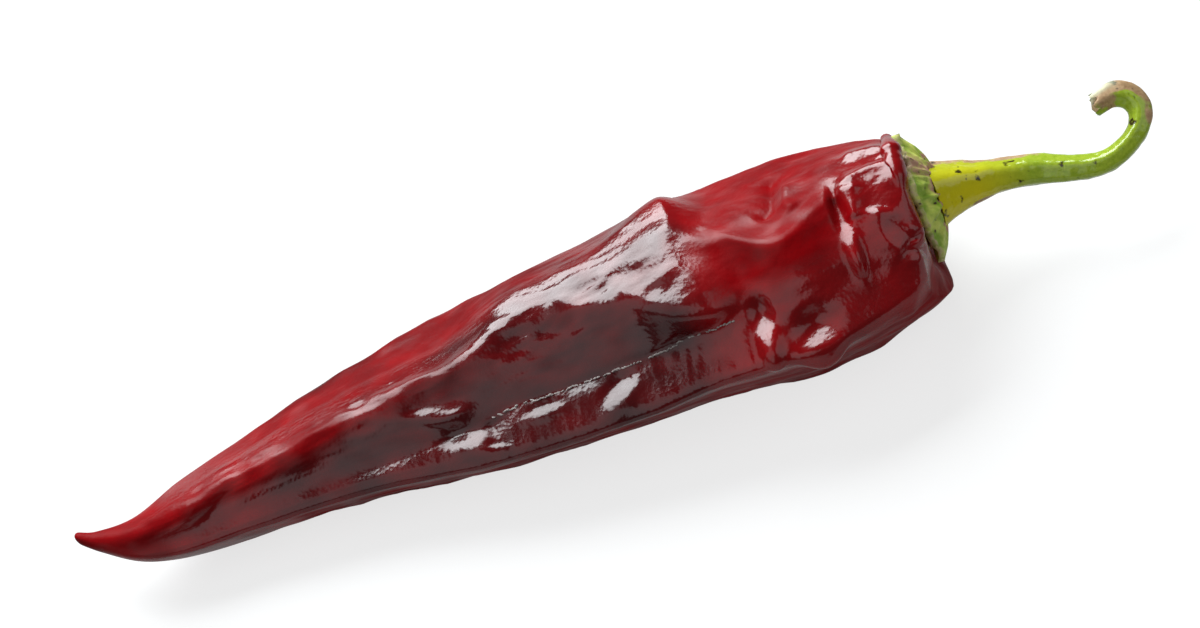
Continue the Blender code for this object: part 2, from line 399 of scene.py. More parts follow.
REACH = 16.0  # no fold is felt further away than this
LINE_SPACING = 1.2
MM_PER_DEGREE = 0.25  # round the pod, roughly
FAR = 1e3
FOLD_FADE = 0.15  # the share of its run over which a fold fades at each end
FOLD_END = 0.15  # what is left of its height there


def line_field(points):
    """Distance of each point of the skin from a line of places, its side and how far along it is.

    The side is 1 to the left of the line's run, where X runs right and the angle runs up."""
    points = np.array(points, float)
    steps = np.hypot(np.diff(points[:, 0]), np.diff(points[:, 1]) * MM_PER_DEGREE)
    lengths = np.concatenate([[0.0], np.cumsum(steps)])
    rows = np.column_stack([lengths, points])
    path = along(rows, np.linspace(0.0, lengths[-1], max(3, int(lengths[-1] / LINE_SPACING) + 1)))
    spots = np.array([skin_point(x, angle) for x, angle in path])
    near = (X > path[:, 0].min() - REACH) & (X < path[:, 0].max() + REACH)
    here, x, angle = smooth[near], X[near], A[near]
    best, side, share = np.full(len(here), FAR), np.ones(len(here)), np.zeros(len(here))
    for k in range(len(path) - 1):
        start, run = spots[k], spots[k + 1] - spots[k]
        t = np.clip((here - start) @ run / max(run @ run, 1e-9), 0.0, 1.0)
        gap = np.linalg.norm(here - start - t[:, None] * run, axis=1)
        closer = gap < best
        best[closer] = gap[closer]
        share[closer] = (k + t[closer]) / (len(path) - 1)
        dx, da = path[k + 1] - path[k]
        cross = dx * turned(angle, path[k, 1]) - da * (x - path[k, 0])
        side[closer] = np.where(cross[closer] >= 0.0, 1.0, -1.0)
    gap_grid, side_grid, share_grid = np.full(X.shape, FAR), np.ones(X.shape), np.zeros(X.shape)
    gap_grid[near], side_grid[near], share_grid[near] = best, side, share
    return gap_grid, side_grid, share_grid


def fold(points, height, left, right, rounding):
    """The relief of one fold: a crest, or a groove where height is below 0, that falls away over
    left and right millimetres on its two sides, with its top rounded over this many."""
    gap, side, share = line_field(points)
    width = np.where(side > 0.0, left, right)
    ends = np.clip(np.minimum(share, 1.0 - share) / FOLD_FADE, 0.0, 1.0)
    ends = ends * ends * (3.0 - 2.0 * ends)
    eased = np.sqrt(gap**2 + rounding**2) - rounding
    near = np.clip(1.0 - (gap / REACH) ** 2, 0.0, 1.0) ** 2
    return height * (FOLD_END + (1.0 - FOLD_END) * ends) * np.exp(-eased / width) * near


def local(x0, angle0):
    """Millimetres along the pod and round it from a place on the skin."""
    step = 2.0
    chord = skin_point(x0, angle0 + step) - skin_point(x0, angle0 - step)
    return X - x0, turned(A, angle0) * np.linalg.norm(chord) / (2.0 * step)


def swelling(x0, angle0, half_length, half_width, height, lean, power):
    """A round swelling, or a dent where height is below 0. Lean slants it, in millimetres of travel
    round the pod for each millimetre along it."""
    dx, ds = local(x0, angle0)
    ds = ds - lean * dx
    return height * np.exp(-(((dx / half_length) ** 2 + (ds / half_width) ** 2) ** power))


def facet(x0, angle0, half_length, half_width, rise_along, rise_across, lean):
    """A flat tilted place: it rises this much for each millimetre along the pod and round it."""
    dx, ds = local(x0, angle0)
    spread = ds - lean * dx
    within = np.exp(-(((dx / half_length) ** 2 + (spread / half_width) ** 2) ** 2))
    return (rise_along * dx + rise_across * ds) * within


def region(x_from, x_to, angle_from, angle_to, soft_x, soft_angle):
    """1 inside this stretch of the skin and 0 well outside it."""
    middle_angle, half_angle = (angle_from + angle_to) / 2.0, (angle_to - angle_from) / 2.0
    inside_x = np.clip((X - x_from) / soft_x + 0.5, 0, 1) * np.clip((x_to - X) / soft_x + 0.5, 0, 1)
    inside_a = np.clip((half_angle - np.abs(turned(A, middle_angle))) / soft_angle + 0.5, 0, 1)
    return inside_x * inside_a


def wrinkles(along_mm, across_mm, seed, ridged=False, octaves=2):
    """Smooth random relief from about -1 to 1, with features this long and this wide."""
    turn, radius = np.radians(A), skin_radius
    places = np.stack(
        [X / along_mm, radius * np.cos(turn) / across_mm, radius * np.sin(turn) / across_mm], axis=2
    )
    total, size = np.zeros(X.shape), 1.0
    for octave in range(octaves):
        offset = Vector((seed * 17.3 + octave * 5.1, seed * 7.7, seed * 3.1))
        spots = places.reshape(-1, 3)
        values = np.array([noise.noise(Vector(p) * 2.0**octave + offset) for p in spots])
        values = values.reshape(X.shape)
        total += size * ((1.0 - 2.0 * np.abs(values) * 1.6) if ridged else values * 1.6)
        size *= 0.5
    return total


smooth_normals = normals_of(smooth)
girth = np.linalg.norm(np.diff(smooth, axis=1, append=smooth[:, :1]), axis=2).sum(axis=1)
skin_radius = np.maximum(girth[:, None] / math.tau, 1.0)

# Each fold: the places that it runs through, its height, how far it falls away to the left and to
# the right of its run, and how far its top is rounded.
FOLDS = (
    # The main ridge, and the border of the broad flat place on top of the pod.
    (((14, 120), (18, 124), (26, 113), (34, 111), (44, 104), (56, 97), (68, 91), (76, 84)),
     0.15, 2.6, 2.6, 0.2),
    (((102, 30), (103.5, 64), (103, 78), (103.2, 93), (104.3, 104), (105.5, 114), (106.5, 128)),
     1.3, 13.0, 3.4, 0.45),
    # The long furrow that holds the torn edge of the inner wall, and its faint end towards the tip.
    (((66, 143), (74, 138), (82, 140), (94, 139.5), (103, 138), (110, 134), (116, 130)),
     -0.5, 1.8, 2.2, 0.2),
    (((36, 154), (44, 155), (50, 154), (57, 151), (63, 146), (67, 143)), -0.3, 1.4, 2.4, 0.4),
    # The sharp lower ridge, where the side turns under, and a crease in the shelf above it.
    (((56, 186), (66, 184), (84, 173), (96, 170), (106, 166), (112, 163), (118, 164), (124, 180)),
     0.35, 1.3, 2.0, 0.25),
    (((68.6, 144), (68.9, 152), (68.4, 162)), -0.5, 0.9, 2.2, 0.25),
    # The crumpled shoulder.
    (((120, 36), (119.5, 60), (119, 74), (116.5, 82)), -1.1, 1.6, 1.6, 0.3),
    (((122, 56), (122, 66), (121.5, 76), (123, 87)), 0.9, 1.3, 2.0, 0.3),
    (((107, 66), (111, 84), (114, 95), (118, 104), (124, 101), (129, 96), (131, 85)),
     0.3, 1.4, 1.4, 0.2),
    (((130, 84), (134, 80), (138, 82), (139, 92), (138, 102)), 0.9, 1.6, 2.4, 0.4),
    (((131, 56), (136, 58), (139, 68), (140, 80)), 0.7, 1.6, 2.0, 0.4),
    (((132, 86), (131.5, 98), (131, 108)), 0.7, 1.4, 1.4, 0.3),
    (((135, 106), (134, 118), (134.5, 130), (136.5, 142)), 0.9, 1.6, 1.6, 0.4),
    (((138, 134), (139.5, 139), (138.5, 146)), 1.0, 1.2, 1.2, 0.4),
    (((138, 144), (137, 160), (135, 176), (134, 192)), 0.8, 4.0, 3.0, 0.3),
)
# Each flat place: where its middle is, its half length and half width, its rise along and across,
# and its lean.
FACETS = (
    # On the shelf between the furrow and the lower ridge.
    (65.0, 153, 3.8, 2.6, 0.10, 0.30, 0.25),
    (77.5, 150, 3.6, 1.4, 0.0, 0.22, 0.0),
    (89.5, 155, 3.2, 2.7, 0.10, 0.30, -0.35),
    (113.5, 149, 2.0, 5.0, 0.05, 0.45, 0.0),
    (120.5, 166, 3.8, 5.0, 0.0, 0.65, 0.0),
    # Above the hollow side, and on the shoulder.
    (61.5, 118, 4.8, 2.8, 0.0, 0.50, 0.25),
    (129.2, 113, 1.3, 6.5, 0.05, 0.50, 1.2),
)
# Each dent or swelling, behind the border of the flat top and at the tip: where its middle is, its
# half length and half width, its height, its lean, and how steep its sides are.
SWELLINGS = (
    (111.0, 104, 4.5, 6.0, -0.6, 0.0, 1.3),
    (24.5, 121, 3.2, 1.7, -0.9, -0.2, 1.0),
    (19.5, 106, 3.0, 1.3, 0.6, 0.2, 1.0),
)
# Each patch of wrinkles: height, length, width, seed, whether they are ridged, and its stretch.
WRINKLES = (
    (0.28, 6.0, 3.2, 12, False, (12, 66, 84, 126, 8, 12)),
    (0.035, 1.0, 5.0, 14, False, (56, 122, 142, 176, 5, 8)),
    (0.10, 7.0, 5.0, 2, True, (112, 150, -180, 180, 10, 360)),
    (0.018, 14.0, 1.3, 3, True, (22, 78, 40, 108, 8, 8)),
    (0.03, 6.0, 1.1, 4, False, (70, 108, 20, 125, 6, 10)),
    (0.20, 5.0, 2.6, 9, False, (70, 104, 74, 112, 12, 14)),
    (0.07, 9.0, 1.6, 10, True, (74, 104, 40, 100, 14, 16)),
    (0.09, 1.8, 6.0, 5, False, (94, 116, 140, 168, 5, 8)),
    (0.30, 14.0, 5.0, 6, True, (30, 136, 215, 380, 16, 40)),
)
HOLLOW = (16, 104, 112, 140, 6, 16)
# The skin swells up round the edge of the calyx, and lies smooth under it.
RIM_RADIUS, RIM_WIDTH, RIM_HEIGHT = 11.4, 2.0, 0.9

relief = sum(fold(*row) for row in FOLDS)
relief += sum(facet(*row) for row in FACETS)
relief += sum(swelling(*row) for row in SWELLINGS)

# Slow dips and swells cover the whole pod, but the hollow side is almost free of them.
hollow = region(*HOLLOW)
relief += 0.09 * wrinkles(9.0, 6.0, 1) * (1.0 - 0.85 * hollow) * np.clip((X - 6.0) / 20.0, 0, 1)
for height, length, width, seed, ridged, stretch in WRINKLES:
    relief += height * wrinkles(length, width, seed, ridged) * region(*stretch)

calyx_gap = np.hypot(smooth[..., 1] - CALYX_Y, smooth[..., 2] - CALYX_Z)
rim = np.exp(-(((calyx_gap - RIM_RADIUS) / RIM_WIDTH) ** 2))
rim *= np.clip((X - shoulder + 5.0) / 6.0, 0, 1) ** 2
relief += rim * (RIM_HEIGHT + 0.35 * wrinkles(9.0, 7.0, 21, octaves=1))
under_calyx = np.where(X > shoulder, np.clip((calyx_gap - 7.5) / 2.5, 0, 1), 1.0)
relief *= under_calyx * np.clip(X / 3.0, 0.0, 1.0)
skin = smooth + smooth_normals * relief[..., None]
skin[..., 2] = np.maximum(skin[..., 2], 0.0)
skin[..., 0] = np.maximum(skin[..., 0], 0.0)


def closed_skin(name, grid, start, end, mesh_material, attributes):
    """A closed mesh through a grid of rings in metres, with its ends fanned to two points."""
    count, around = grid.shape[:2]
    points = np.concatenate([[start], grid.reshape(-1, 3), [end]])
    r, k = np.meshgrid(np.arange(count - 1), np.arange(around), indexing="ij")
    low, high, after = 1 + r * around, 1 + (r + 1) * around, (k + 1) % around
    quads = np.stack([low + k, low + after, high + after, high + k], axis=-1).reshape(-1, 4)
    last = 1 + (count - 1) * around
    fans = [(0, 1 + (n + 1) % around, 1 + n) for n in range(around)]
    fans += [(last + n, last + (n + 1) % around, len(points) - 1) for n in range(around)]
    mesh = bpy.data.meshes.new(name)
    mesh.from_pydata(points.tolist(), [], quads.tolist() + fans)
    mesh.shade_smooth()
    mesh.materials.append(mesh_material)
    for label, values in attributes.items():
        stored = mesh.attributes.new(label, "FLOAT", "POINT")
        values = np.concatenate([[values[0].mean()], values.reshape(-1), [values[-1].mean()]])
        stored.data.foreach_set("value", values.astype(np.float32))
    made = bpy.data.objects.new(name, mesh)
    bpy.context.scene.collection.objects.link(made)
    return made


# Patterns in the skin, in repeats per metre: 4.5 mm blotches, 1.1 mm pores and a 0.7 mm grain.
MOTTLE, PORES, GRAIN = 220.0, 900.0, 1500.0


def dried_cuticle():
    """Dried capsicum wall under its own wax cuticle: deep red and translucent to the eye, with painted
    shade, a darker brown, on the hollow side and the shelf below the furrow, and a lacquer-like gloss over
    a fine leathery grain."""
    made, tree, out = new_material("dried_capsicum_cuticle")
    place = add(tree, "ShaderNodeTexCoord").outputs["Object"]
    painted_shade = add(tree, "ShaderNodeAttribute", attribute_name="painted_shade").outputs["Fac"]
    blush = add(tree, "ShaderNodeAttribute", attribute_name="blush").outputs["Fac"]
    mottle = add(
        tree, "ShaderNodeTexNoise", {"Vector": place, "Scale": MOTTLE, "Detail": 4.0}
    ).outputs["Fac"]
    pores = add(
        tree, "ShaderNodeTexNoise", {"Vector": place, "Scale": PORES, "Detail": 3.0}
    ).outputs["Fac"]
    grain = add(tree, "ShaderNodeTexVoronoi", {"Vector": place, "Scale": GRAIN}).outputs["Distance"]
    spots = add(
        tree, "ShaderNodeMapRange", {"Value": mottle, "From Min": 0.35, "From Max": 0.7}
    ).outputs["Result"]
    red = add(
        tree, "ShaderNodeMix", {0: blush, 6: linear("#470306"), 7: linear("#8a040a")}, data_type="RGBA"
    )
    share = add(tree, "ShaderNodeMath", {0: spots, 1: 0.35}, operation="MULTIPLY").outputs[0]
    deep = add(tree, "ShaderNodeMix", {0: share, 6: red.outputs[2], 7: linear("#480306")}, data_type="RGBA")
    # Painted shade: the hollow side and the shelf below the furrow turn a darker brown.
    dark = add(
        tree, "ShaderNodeMix", {0: painted_shade, 6: deep.outputs[2], 7: linear("#1c0607")}, data_type="RGBA"
    )
    gloss = add(
        tree, "ShaderNodeMapRange", {"Value": mottle, "To Min": 0.13, "To Max": 0.20}
    ).outputs["Result"]
    dull = add(tree, "ShaderNodeAttribute", attribute_name="dull").outputs["Fac"]
    rough = add(tree, "ShaderNodeMix", {0: dull, 2: gloss, 3: 0.50}, data_type="FLOAT").outputs[0]
    shine = add(
        tree, "ShaderNodeMapRange", {"Value": dull, "From Max": 0.6, "To Min": 0.5, "To Max": 0.04}
    ).outputs[0]
    height = add(tree, "ShaderNodeMath", {0: grain, 1: pores}, operation="ADD").outputs[0]
    bump = add(
        tree, "ShaderNodeBump", {"Height": height, "Strength": 0.13, "Distance": 0.0002}
    ).outputs["Normal"]
    surface = add(
        tree, "ShaderNodeBsdfPrincipled",
        {"Base Color": dark.outputs[2], "Roughness": rough, "Specular IOR Level": shine, "Normal": bump},
    )
    tree.links.new(surface.outputs[0], out.inputs["Surface"])
    return made


# Where the wall is painted a darker brown for shade, on the hollow side and the shelf below the furrow, and
# where it is a brighter red.
painted_shade = 0.30 * hollow * np.clip((X - 24.0) / 20.0, 0, 1)
painted_shade += 0.35 * region(30, 104, 138, 170, 8, 12)
painted_shade = np.clip(painted_shade + 0.12 * wrinkles(8.0, 5.0, 8), 0.0, 1.0)
blush = 0.15 + 0.60 * region(-5, 58, 20, 118, 16, 16) + 0.80 * region(104, 145, -40, 230, 5, 20)
blush += 0.8 * region(-5, 34, -180, 180, 16, 360) + 0.6 * region(30, 145, 176, 320, 10, 20)
blush = np.clip(blush + 0.45 * region(55, 104, -30, 66, 10, 14) + 0.2 * wrinkles(6.0, 4.0, 15), 0.0, 1.0)
# The wax is worn matt at the tip, along the ridge behind it, on the flat of the shoulder, and where
# the pod turns under and to the back.
dull = region(-5, 14, -180, 180, 12, 360) + 0.5 * region(14, 44, 78, 126, 8, 12)
dull += 0.55 * region(107, 129, 50, 122, 5, 16) + 0.30 * region(40, 70, 84, 112, 10, 10)
dull += 0.6 * region(24, 86, -40, 58, 16, 14) + 0.6 * region(106, 150, -40, 50, 8, 16)
dull += 0.6 * region(30, 160, 178, 320, 14, 16)
dull = np.clip(dull + 0.12 * wrinkles(5.0, 4.0, 16), 0.0, 1.0)
pod = closed_skin(
    "pod_skin", skin * MM + pod_origin,
    np.array([0.0, smooth[0, :, 1].mean(), smooth[0, :, 2].mean()]) * MM + pod_origin,
    np.array([DOME_TOP, CALYX_Y, CALYX_Z]) * MM + pod_origin,
    dried_cuticle(), {"painted_shade": painted_shade, "blush": blush, "dull": dull},
)
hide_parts("pod")
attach(pod, "root")


# ---- The thread of the furrow -------------------------------------------------------------------
# The torn edge of the inner wall shows in the long furrow as a pale, dry, broken thread. It is a
# string of short irregular beads of papery tissue, dried onto the skin.

# Places along it, of which the last only guides its curve: it ends at THREAD_END.
THREAD = np.array((
    (69.5, 142.5), (74, 140.0), (82, 141.6), (94, 141.0), (103, 139.6), (108, 138.0), (114, 132.5),
))
THREAD_END, THREAD_STEP = 109.5, 0.5
THREAD_LIFT = 0.02
CRUMBS = 1400.0  # repeats per metre, so crumbs of 0.7 mm
BEADS = {"Spacing": 0.50 * MM, "Size": 0.21 * MM, "Seed": 7}
BEAD_SHIFT = Vector((0.1, 0.1, 0.05)) * MM
BEAD_TURN = Vector((0.5, 0.5, 0.5))
BEAD_SMALLEST, BEAD_LARGEST = (1.0, 0.5, 0.4), (2.6, 1.1, 0.9)
BEADS_LEFT = 0.85  # the share that hasn't broken away


def dry_tissue():
    """Dry inner-wall tissue: a chalky, matt grey-white that breaks up into crumbs."""
    made, tree, out = new_material("dry_inner_wall_tissue")
    place = add(tree, "ShaderNodeTexCoord").outputs["Object"]
    crumbs = add(
        tree, "ShaderNodeTexNoise", {"Vector": place, "Scale": CRUMBS, "Detail": 2.0}
    ).outputs["Fac"]
    tone = add(
        tree, "ShaderNodeMix", {0: crumbs, 6: linear("#6f6462"), 7: linear("#b8aeaa")}, data_type="RGBA"
    )
    surface = add(tree, "ShaderNodeBsdfPrincipled", {"Base Color": tone.outputs[2], "Roughness": 0.6})
    tree.links.new(surface.outputs[0], out.inputs["Surface"])
    return made


def node_group(name, sizes):
    """A Geometry Nodes tree that takes a mesh and these named sizes, with its input and output."""
    tree = bpy.data.node_groups.new(name, "GeometryNodeTree")
    tree.interface.new_socket("Geometry", in_out="INPUT", socket_type="NodeSocketGeometry")
    for label, value in sizes.items():
        whole = isinstance(value, int)
        kind = "NodeSocketInt" if whole else "NodeSocketFloat"
        socket = tree.interface.new_socket(label, in_out="INPUT", socket_type=kind)
        socket.default_value = value
    tree.interface.new_socket("Geometry", in_out="OUTPUT", socket_type="NodeSocketGeometry")
    return tree, tree.nodes.new("NodeGroupInput").outputs, tree.nodes.new("NodeGroupOutput").inputs


def finish_tree(tree, shape, surface_material, output):
    """Ends a tree with Realize Instances and Set Material."""
    real = add(tree, "GeometryNodeRealizeInstances", {"Geometry": shape})
    inputs = {"Geometry": real.outputs[0], "Material": surface_material}
    painted = add(tree, "GeometryNodeSetMaterial", inputs)
    tree.links.new(painted.outputs[0], output["Geometry"])


def grown(name, host_mesh, tree, sizes):
    """The plain mesh that this tree makes from this mesh, as an object of its own."""
    host = bpy.data.objects.new(name + "_host", host_mesh)
    bpy.context.scene.collection.objects.link(host)
    modifier = host.modifiers.new("nodes", "NODES")
    modifier.node_group = tree
    for item in tree.interface.items_tree:
        if item.item_type == "SOCKET" and item.in_out == "INPUT" and item.name in sizes:
            modifier[item.identifier] = sizes[item.name]
    graph = bpy.context.evaluated_depsgraph_get()
    mesh = bpy.data.meshes.new_from_object(host.evaluated_get(graph))
    mesh.name = name
    bpy.data.objects.remove(host)
    made = bpy.data.objects.new(name, mesh)
    bpy.context.scene.collection.objects.link(made)
    return made


def line_mesh(name, points, **columns):
    """A mesh of points joined in a line, with a value for each point in each column."""
    mesh = bpy.data.meshes.new(name)
    mesh.from_pydata([tuple(p) for p in points], [(k, k + 1) for k in range(len(points) - 1)], [])
    for label, values in columns.items():
        stored = mesh.attributes.new(label, "FLOAT", "POINT")
        stored.data.foreach_set("value", np.asarray(values, np.float32))
    return mesh


def surface_point(x, angle, lift):
    """A place this many millimetres off the finished skin, in metres."""
    row = int(np.argmin(np.abs(ring_x - x)))
    column = int(round(angle * AROUND / 360.0)) % AROUND
    return (skin[row, column] + smooth_normals[row, column] * lift) * MM + pod_origin


tree, given, result = node_group("broken_thread", BEADS)
thread = add(tree, "GeometryNodeMeshToCurve", {"Mesh": given["Geometry"]}).outputs[0]
spots = add(
    tree, "GeometryNodeResampleCurve", {"Curve": thread, "Length": given["Spacing"]}, mode="LENGTH"
).outputs[0]
shift = add(
    tree, "FunctionNodeRandomValue", {0: -BEAD_SHIFT, 1: BEAD_SHIFT, "Seed": given["Seed"]},
    data_type="FLOAT_VECTOR",
).outputs[0]
spread = add(tree, "GeometryNodeSetPosition", {"Geometry": spots, "Offset": shift}).outputs[0]
crumb = add(tree, "GeometryNodeMeshIcoSphere", {"Radius": given["Size"], "Subdivisions": 1}).outputs[0]
scale = add(
    tree, "FunctionNodeRandomValue", {0: BEAD_SMALLEST, 1: BEAD_LARGEST, "Seed": given["Seed"]},
    data_type="FLOAT_VECTOR",
).outputs[0]
turn = add(
    tree, "FunctionNodeRandomValue", {0: -BEAD_TURN, 1: BEAD_TURN, "Seed": given["Seed"]},
    data_type="FLOAT_VECTOR",
).outputs[0]
keep = add(
    tree, "FunctionNodeRandomValue", {"Probability": BEADS_LEFT, "Seed": given["Seed"]},
    data_type="BOOLEAN",
).outputs[3]
beads = add(
    tree, "GeometryNodeInstanceOnPoints",
    {"Points": spread, "Instance": crumb, "Scale": scale, "Rotation": turn, "Selection": keep},
).outputs[0]
finish_tree(tree, beads, dry_tissue(), result)
thread_places = np.arange(THREAD[0, 0], THREAD_END, THREAD_STEP)
thread_path = [surface_point(x, along(THREAD, x)[0, 0], THREAD_LIFT) for x in thread_places]
thread_beads = grown("furrow_thread", line_mesh("thread_line", thread_path), tree, BEADS)
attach(thread_beads, "root")


# ---- The calyx ----------------------------------------------------------------------------------
# The green cap that held the fruit: six short ragged lobes, dried thin and ruffled at the edge and
# grown as one with the collar under the stem's foot. It is grown onto the dome of the shoulder.

CALYX_SEAT = -0.1  # how far off the dome it starts: it is sunk in a little
# Each lobe: its direction in degrees round the calyx, how far it reaches past the smooth edge, how
# far its tip curls away from the shoulder, and its half width in degrees.
LOBES = (
    (48.0, 2.6, 0.5, 22.0), (116.0, 1.9, 0.2, 15.0), (150.0, 0.9, 0.9, 16.0), (198.0, 2.6, 2.2, 18.0),
    (268.0, 2.0, 0.6, 26.0), (338.0, 2.2, 0.6, 26.0),
)
CALYX_WAIST = 7.3  # its radius between the lobes
COLLAR_RADIUS, COLLAR_HEIGHT = 5.6, 143.4
CALYX_THICK, CALYX_EDGE_THICK = 3.0, 0.9
CALYX_SHARES = np.concatenate([np.linspace(0.04, 0.9, 34), (0.94, 0.97, 0.99, 1.0)])
CREASE_SHARE, CREASE_TURN = 0.60, 84.0  # the brown creases: a ring, and one across the top
# Patterns in the tissue, in repeats per metre: 2.4 mm patches, 0.8 mm fibres and 1.1 mm specks.
PATCHES, FIBRES, CALYX_SPECKS = 420.0, 1300.0, 900.0


def loop_noise(turn_degrees, cycles, seed, depth=0.0):
    """Smooth noise that closes on itself round the calyx."""
    height = depth + seed * 9.7
    return np.array([
        noise.noise(Vector((math.cos(t) * cycles, math.sin(t) * cycles, height))) * 1.6
        for t in np.radians(turn_degrees)
    ])


def lobes(column):
    """This column of the lobes' table, felt round the calyx around each lobe."""
    return sum(row[column] * np.exp(-((turned(angles, row[0]) / row[3]) ** 2)) for row in LOBES)


def calyx_profile(share, top):
    """A ring of the calyx's upper or lower face at this share of the way out to its edge."""
    edge = CALYX_WAIST + lobes(1) + 0.8 * loop_noise(angles, 3.2, 1) + 0.55 * loop_noise(angles, 8.0, 2)
    radius = edge * share
    ruffle = 0.7 * loop_noise(angles, 3.0, 3, share) + 0.3 * loop_noise(angles, 7.0, 4, share * 2.0)
    height = dome_height(radius) + CALYX_SEAT + (0.75 * lobes(2) + 0.8 * ruffle) * share**3
    if top:
        thick = CALYX_THICK + (CALYX_EDGE_THICK - CALYX_THICK) * share**2.5
        ribs = (0.5 * (1.0 - share) + 0.8) * np.abs(loop_noise(angles, 6.0, 5, share * 1.3))
        ribs *= min(1.0, 4.0 * (1.0 - share) + 0.2)
        past_collar = np.maximum(radius - COLLAR_RADIUS + 0.3, 0.0)
        collar = (COLLAR_HEIGHT - DOME_TOP) * np.exp(-past_collar**2 / 1.1)
        dents = 0.25 * np.abs(loop_noise(angles, 5.0, 6))
        height = np.maximum(height + thick + ribs, DOME_TOP + collar - dents)
    return round_ring(height, radius, angles)


calyx_under = [calyx_profile(share, False) for share in CALYX_SHARES]
calyx_top = [calyx_profile(share, True) for share in CALYX_SHARES[::-1]]
calyx_grid = np.array(calyx_under + calyx_top)
share_grid = np.repeat(np.concatenate([CALYX_SHARES, CALYX_SHARES[::-1]])[:, None], AROUND, axis=1)
dryness = np.clip((share_grid - 0.93) / 0.07, 0, 1) ** 1.5
crease = np.exp(-((turned(angles, CREASE_TURN) / 20.0) ** 2)) * np.clip((share_grid - 0.35) / 0.2, 0, 1)
crease = np.clip(crease + np.exp(-(((share_grid - CREASE_SHARE) / 0.05) ** 2)), 0.0, 1.0)


def dry_calyx():
    """Dried calyx tissue: matt yellow-green that has gone olive in patches, with cream edges,
    pinkish-brown creases and dark specks."""
    made, tree, out = new_material("dried_calyx_tissue")
    place = add(tree, "ShaderNodeTexCoord").outputs["Object"]
    dry = add(tree, "ShaderNodeAttribute", attribute_name="dryness").outputs["Fac"]
    brown = add(tree, "ShaderNodeAttribute", attribute_name="crease").outputs["Fac"]
    patches = add(
        tree, "ShaderNodeTexNoise", {"Vector": place, "Scale": PATCHES, "Detail": 3.0}
    ).outputs["Fac"]
    patches = add(
        tree, "ShaderNodeMapRange", {"Value": patches, "From Min": 0.38, "From Max": 0.62}
    ).outputs[0]
    fibres = add(
        tree, "ShaderNodeTexNoise", {"Vector": place, "Scale": FIBRES, "Detail": 3.0}
    ).outputs["Fac"]
    specks = add(
        tree, "ShaderNodeTexNoise", {"Vector": place, "Scale": CALYX_SPECKS, "Detail": 1.0}
    ).outputs["Fac"]
    specks = add(
        tree, "ShaderNodeMapRange", {"Value": specks, "From Min": 0.66, "From Max": 0.74}
    ).outputs[0]
    green = add(
        tree, "ShaderNodeMix", {0: patches, 6: linear("#86a824"), 7: linear("#cfd862")}, data_type="RGBA"
    )
    streak = add(tree, "ShaderNodeMath", {0: fibres, 1: brown}, operation="MULTIPLY").outputs[0]
    streak = add(
        tree, "ShaderNodeMapRange", {"Value": streak, "From Min": 0.15, "From Max": 0.5}
    ).outputs[0]
    worn = add(
        tree, "ShaderNodeMix", {0: streak, 6: green.outputs[2], 7: linear("#b98a72")}, data_type="RGBA"
    )
    rim = add(tree, "ShaderNodeMath", {0: dry, 1: fibres}, operation="MULTIPLY").outputs[0]
    rim = add(tree, "ShaderNodeMapRange", {"Value": rim, "From Min": 0.3, "From Max": 0.7}).outputs[0]
    edged = add(tree, "ShaderNodeMix", {0: rim, 6: worn.outputs[2], 7: linear("#d9c39a")}, data_type="RGBA")
    tone = add(
        tree, "ShaderNodeMix", {0: specks, 6: edged.outputs[2], 7: linear("#4a3a1c")}, data_type="RGBA"
    )
    bump = add(
        tree, "ShaderNodeBump", {"Height": fibres, "Strength": 0.5, "Distance": 0.0003}
    ).outputs["Normal"]
    surface = add(
        tree, "ShaderNodeBsdfPrincipled",
        {"Base Color": tone.outputs[2], "Roughness": 0.5, "Normal": bump},
    )
    tree.links.new(surface.outputs[0], out.inputs["Surface"])
    return made


calyx = closed_skin(
    "calyx_cap", calyx_grid * MM + pod_origin,
    np.array([calyx_grid[0, :, 0].mean(), CALYX_Y, CALYX_Z]) * MM + pod_origin,
    np.array([calyx_grid[-1, :, 0].mean(), CALYX_Y, CALYX_Z]) * MM + pod_origin,
    dry_calyx(), {"dryness": dryness, "crease": crease},
)
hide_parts("calyx")
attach(calyx, "root")


# ---- The stem -----------------------------------------------------------------------------------
# The peduncle: a tough green stalk with a flared, waxy foot and faint ribs. It bends into a hook,
# dried tan on the outside of the bend, and ends in the torn face where it broke off the plant.

# Place and radius along its middle line, from the foot to the torn end.
STEM = np.array((
    (142.3, 3.2, 14.2, 5.4), (144.3, 3.6, 13.9, 4.75), (146.9, 3.9, 13.6, 3.95),
    (149.9, 4.0, 13.2, 3.2), (153.2, 4.0, 12.9, 2.6), (158.9, 3.2, 12.5, 2.35),
    (164.5, 1.2, 12.4, 1.95), (168.8, 0.3, 12.7, 1.75), (172.6, 1.4, 13.4, 1.6),
    (175.2, 3.4, 14.3, 1.65), (176.3, 6.0, 15.3, 1.85), (175.3, 8.1, 16.4, 2.0),
    (173.0, 8.8, 17.1, 1.95), (170.6, 8.2, 17.1, 1.7),
))
STALK = {"Sides": 48, "Ribs": 5, "Rib depth": 0.05, "Knots": 0.4 * MM}
STEM_STEP = 0.3
SKYWARD, BEND_OUTWARD = (0.0, 0.85, 0.53), (0.80, 0.50, 0.33)
SPLINTER_LENGTH, SPLINTERS_FROM = 3.0, 0.985  # millimetres, and a share of the stalk's length
# Patterns in the stalk, in repeats per metre: 2 mm blotches, 0.6 mm pores and 2.6 mm knots.
BLOTCHES, STALK_PORES, KNOTS = 500.0, 1600.0, 380.0


